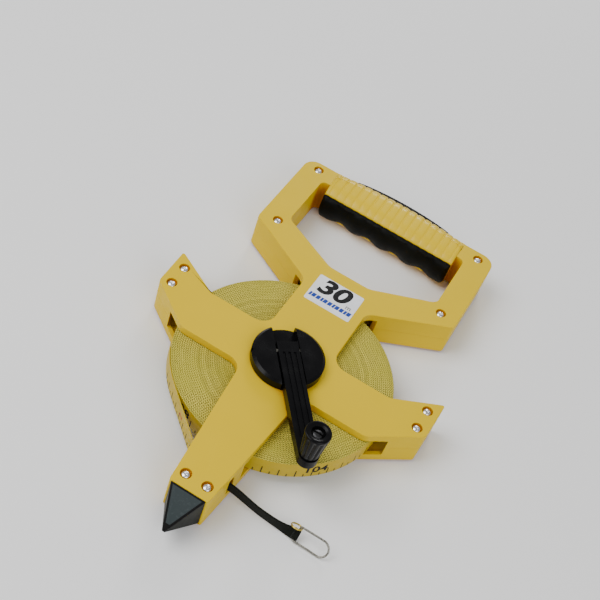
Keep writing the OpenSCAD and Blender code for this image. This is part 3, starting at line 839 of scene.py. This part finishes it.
def make_spike(materials):
    """Pointed foot: flat faces, grey in front and darker at the sides as painted shade, inside black rounded
    edges.
    """
    rounded_copy("ground_spike", materials["spike_edge"], "frame",
                 lambda p: 1.5 if p.y < SPIKE_BASE_Y - 0.2 else 0.5, 4)
    border, length, far_end = 1.3, SPIKE_BASE_Y - SPIKE_TIP_Y, 0.84
    for name, half_wide, half_out, key in (("x", SPIKE_HALF_X, SPIKE_HALF_Z, "spike"),
                                           ("z", SPIKE_HALF_Z, SPIKE_HALF_X, "spike_side_painted_shade")):
        bm = bmesh.new()
        for way in (1, -1):
            def corner(t, side, sunk):
                share = 1 - t * (1 - TIP_HALF_X / SPIKE_HALF_X)
                wide = max(half_wide * share - border, 0.1) * side
                out = way * (half_out * share + 0.05 - sunk)
                y = SPIKE_BASE_Y - length * t
                return (wide, y, SEAM_Z + out) if name == "x" else (out, y, SEAM_Z + wide)
            spots = [(1 / length, -1), (1 / length, 1), (far_end, 1), (far_end, -1)]
            add_loft(bm, [[corner(*spot, sunk) for spot in spots] for sunk in (0, 0.7)])
        place(bm, "spike_faces_" + name, materials[key], "frame", sharp=30)


# --- Spool, hub and crank -------------------------------------------------------------

CRANK_ANGLE, CRANK_THROW = -52.0, 71.0
HUB_Z1, ARM_Z1, GROOVES_HALF_W = 34.0, 35.0, 4.6
KNOB_Z0, KNOB_Z1, KNOB_R, KNOB_BORE_R = 35.4, 56.9, 7.8, 2.58


def crank_point(s, t, z):
    """A point along (s) and across (t) the crank arm."""
    a = math.radians(CRANK_ANGLE)
    return Vector((s * math.cos(a) - t * math.sin(a), s * math.sin(a) + t * math.cos(a), z))


def make_knob(materials):
    """Tapered knob with twelve flutes, bored for its post and recessed for its screw."""
    flutes = 12
    def radius_at(r, z, angle):
        if r < 4.5 or z < KNOB_Z0 + 0.4 or z > KNOB_Z1 - 1.4:
            return r
        wave = 0.5 - 0.5 * math.cos(flutes * angle)
        fade = min(1, (z - KNOB_Z0 - 0.4) / 2) * min(1, (KNOB_Z1 - 1.4 - z) / 1.2)
        return r - 0.75 * wave ** 3 * fade
    profile = [(KNOB_BORE_R, KNOB_Z0), (5.0, KNOB_Z0), (5.5, KNOB_Z0 + 0.15), (5.8, KNOB_Z0 + 0.5)]
    for k in range(1, 17):
        t = k / 17
        profile.append((5.9 + (KNOB_R - 5.9) * t ** 0.9, KNOB_Z0 + 0.8 + (KNOB_Z1 - KNOB_Z0 - 2.6) * t))
    top = ((KNOB_R, 1.5), (KNOB_R, 0.9), (KNOB_R - 0.15, 0.4), (KNOB_R - 0.5, 0.1), (KNOB_R - 0.9, 0),
           (5.4, 0), (5.1, 0.35), (4.5, 0.4), (4.2, 0.6), (4.2, 3.2), (KNOB_BORE_R, 3.2))
    profile += [(r, KNOB_Z1 - drop) for r, drop in top]
    centre = crank_point(CRANK_THROW, 0, 0)
    bm = bmesh.new()
    add_loft(bm, spin(profile, 144, centre.xy, radius_at), closed=True)
    place(bm, "knob_fluted", materials["black"], "knob", ["knob"], sharp=50)


def make_knob_screw(materials):
    """Screw in the knob's recess, with a slot across its head."""
    centre = crank_point(CRANK_THROW, 0, 0)
    base, sides = KNOB_Z1 - 3.1, 48
    slot_half_w, slot_depth = 0.45, 0.9
    profile = [(0.35, 1.9), (0.8, 1.9), (1.3, 1.85), (1.9, 1.75), (2.5, 1.6), (3.0, 1.35), (3.35, 1.0),
               (3.5, 0.6), (3.5, 0.0), (1.2, 0.0), (1.2, -8.0)]
    bm = bmesh.new()
    rows = []
    for r, z in profile:
        ring = []
        for k in range(sides):
            a = math.tau * k / sides
            slot = slot_depth if z > 0.5 and abs(r * math.sin(a)) < slot_half_w else 0
            ring.append((centre.x + r * math.cos(a), centre.y + r * math.sin(a), base + z - slot))
        rows.append(ring)
    add_loft(bm, rows)
    place(bm, "knob_screw_look", materials["dark_steel"], "crank", ["knob_screw"], sharp=45)


def make_crank(materials):
    """Hub disc and ribbed arm with rounded edges, finer at the arm's grooves, and the knob."""
    square_up = Matrix.Rotation(-math.radians(CRANK_ANGLE), 2)
    def at_groove(p):
        return p.z > ARM_Z1 - 1 and abs((square_up @ p.xy).y) < GROOVES_HALF_W
    black = materials["black"]
    rounded_copy("crank_hub", black, "spool",
                 lambda p: 0.45 if p.z > HUB_Z1 - 1.6 and p.xy.length > 15 else 0.25)
    rounded_copy("crank_arm", black, "crank", lambda p: 0.22 if at_groove(p) else 0.9)
    make_knob(materials)
    make_knob_screw(materials)


# --- Tape -----------------------------------------------------------------------------

COIL_R, CORE_R, TAPE_Z0, TAPE_Z1 = 70.0, 25.0, 8.0, 21.0
TAPE_THICK = 0.45
TAPE_LEAVES = 228
COIL_NUMBERS = ((-44, "104"), (25, "105"), (100, "106"), (172, "107"), (-120, "108"))


def make_coil(materials):
    """The wound tape: both sides stepped turn by turn, the outer face smooth."""
    turns = 50
    pitch = (COIL_R - CORE_R) / turns
    steps = [random.uniform(-0.12, 0.0) for _ in range(turns)]
    upper, lower = [], []
    for i in range(turns):
        inner = CORE_R + 0.02 + pitch * i
        for share, drop in ((0.08, 0.07), (0.3, 0), (0.75, 0), (0.94, 0.07)):
            upper.append((inner + pitch * share, TAPE_Z1 + steps[i] - drop))
            lower.append((inner + pitch * share, TAPE_Z0 - steps[i] + drop))
    profile = upper + [(COIL_R - 0.02, TAPE_Z1 - 0.25), (COIL_R - 0.02, TAPE_Z0 + 0.25)] + lower[::-1]
    profile += [(CORE_R + 0.02, TAPE_Z0 + 0.3), (CORE_R + 0.02, TAPE_Z1 - 0.3)]
    bm = bmesh.new()
    add_loft(bm, spin(profile, 180), closed=True)
    coil = place(bm, "tape_turns", materials["tape_edge"], "spool", ["tape_coil"], sharp=60)
    coil.data.materials.append(materials["tape_face"])
    for polygon in coil.data.polygons:
        radial = Vector((polygon.center.x, polygon.center.y, 0)).normalized()
        if polygon.normal.dot(radial) > 0.8 and polygon.center.xy.length > (COIL_R - 1) * MM:
            polygon.material_index = 1


def round_coil(angle_deg):
    """Bends flat print round the coil's outer face, its middle at the angle."""
    def bend(along, z, out):
        a = math.radians(angle_deg) + along / COIL_R
        return Vector(((COIL_R + out) * math.cos(a), (COIL_R + out) * math.sin(a), z))
    return bend


def run_point(along, z, out):
    """A point on the free tape's outer face, along mm from where it leaves the coil and out mm proud."""
    radius = COIL_R + 0.3 + TAPE_THICK + out
    a = math.radians(TAPE_LEAVES) + min(along, 0) / radius
    straight = max(along, 0)
    return Vector((radius * math.cos(a) - straight * math.sin(a),
                   radius * math.sin(a) + straight * math.cos(a), z))


def add_ticks(bm, bend, places, sunk, proud):
    """Long and short ticks by turns along the tape's rear edge."""
    half_w, long, short = 0.34, 6.0, 2.5
    foot = TAPE_Z0 + 0.3
    for index, along in enumerate(places):
        top = foot + (short if index % 2 else long)
        left, right = along - half_w, along + half_w
        corners = [(left, foot), (right, foot), (right, top), (left, top)]
        add_loft(bm, [[bend(s, z, out) for s, z in corners] for out in (-sunk, proud)])


def make_marks(materials):
    """Ticks round the coil's outer face and along the free tape."""
    round_length, pitch, run_pitch, run_start = math.tau * COIL_R, 5, 3.7, -12
    count = int(round_length / pitch)
    bm = bmesh.new()
    add_ticks(bm, round_coil(0), [round_length * i / count for i in range(count)], 0.05, 0.03)
    place(bm, "tape_ticks", materials["ink_black"], "spool")
    bm = bmesh.new()
    add_ticks(bm, run_point, [run_start + run_pitch * i for i in range(15)], 0.02, 0.05)
    place(bm, "run_ticks", materials["ink_black"], "frame")


def tape_number(name, digits, material, size, z, bend, body, bold, turn=0, wide=1.0):
    """Printed digits laid on the tape's face."""
    bm = text_solid(digits, size, bold, 0.03)
    rotation = Matrix.Rotation(math.radians(turn), 3, "Z")
    for vert in bm.verts:
        p = rotation @ vert.co
        vert.co = bend(p.x * wide, z + p.y, 0.01 + p.z)
    place(bm, name, material, body)


def make_tape(materials):
    """The coil, its ticks and numbers, and one number on the free tape."""
    make_coil(materials)
    make_marks(materials)
    for index, (angle, digits) in enumerate(COIL_NUMBERS, start=1):
        tape_number(f"tape_number_{index}", digits, materials["ink_black"], 8.2, 14.8, round_coil(angle),
                    "spool", bold=0.16, wide=1.25)
    number_along = 20
    tape_number("run_number", "2", materials["ink_red"], 7.0, 14.2,
                lambda along, z, out: run_point(number_along + along, z, out), "frame", turn=90, bold=0.1)


# --- Carried-over CAD nodes -----------------------------------------------------------

PLAIN_NODES = {
    "guide_pin": "steel", "front_bush": "nylon", "rear_bush": "nylon", "axle": "steel",
    "hub_screw": "steel", "rear_screw": "steel", "rear_washer": "steel", "crank_pin": "steel",
    "knob_post": "steel", "leader_rivet": "brass", "tape_run": "tape_face",
    "spool_core": "black", "rear_cap": "black",
}


def dress_nodes(materials):
    """Gives the CAD nodes that stay in sight, or inside, their own materials."""
    for node, key in PLAIN_NODES.items():
        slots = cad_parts[node].data.materials
        slots.clear()
        slots.append(materials[key])


# --- Stage ----------------------------------------------------------------------------

def make_stage():
    """Plain pale floor just under the reel, soft studio light from both sides and behind."""
    floor_mesh = bpy.data.meshes.new("floor")
    half = 4.0
    corners = [(-half, -half, 0), (half, -half, 0), (half, half, 0), (-half, half, 0)]
    floor_mesh.from_pydata(corners, [], [(0, 1, 2, 3)])
    floor = bpy.data.objects.new("floor", floor_mesh)
    bpy.context.scene.collection.objects.link(floor)
    floor.location.z = -0.0002
    floor_mesh.materials.append(Nodes("floor_white", (0.93, 0.93, 0.93), 0.9).material)
    world = bpy.data.worlds.new("studio")
    world.use_nodes = True
    world.node_tree.nodes["Background"].inputs["Color"].default_value = (1, 1, 1, 1)
    world.node_tree.nodes["Background"].inputs["Strength"].default_value = 0.4
    bpy.context.scene.world = world
    for name, place_at, size, power in (
        ("key_light", (-0.75, -0.35, 1.25), 1.0, 16.5),
        ("fill_light", (0.95, -0.8, 1.0), 1.1, 10.5),
        ("rim_light", (-0.2, 1.15, 0.62), 0.35, 4),
    ):
        data = bpy.data.lights.new(name, "AREA")
        data.size = size
        data.energy = power
        lamp = bpy.data.objects.new(name, data)
        bpy.context.scene.collection.objects.link(lamp)
        aim = Vector((0, 0.03, 0)) - Vector(place_at)
        lamp.matrix_world = Matrix.Translation(place_at) @ aim.to_track_quat("-Z", "Y").to_matrix().to_4x4()


# --- Build ----------------------------------------------------------------------------

make_camera()
looks = make_materials()
strap = make_webbing(looks)
on_strap = [make_hem(looks), make_stitches(looks), make_hook(looks), make_ring(looks)]
declare_strap()
dress_nodes(looks)
make_shells(looks)
make_screws(looks)
make_grip(looks)
make_finger_insert(looks)
make_back_strip(looks)
make_label(looks)
make_spike(looks)
make_crank(looks)
make_tape(looks)
make_stage()
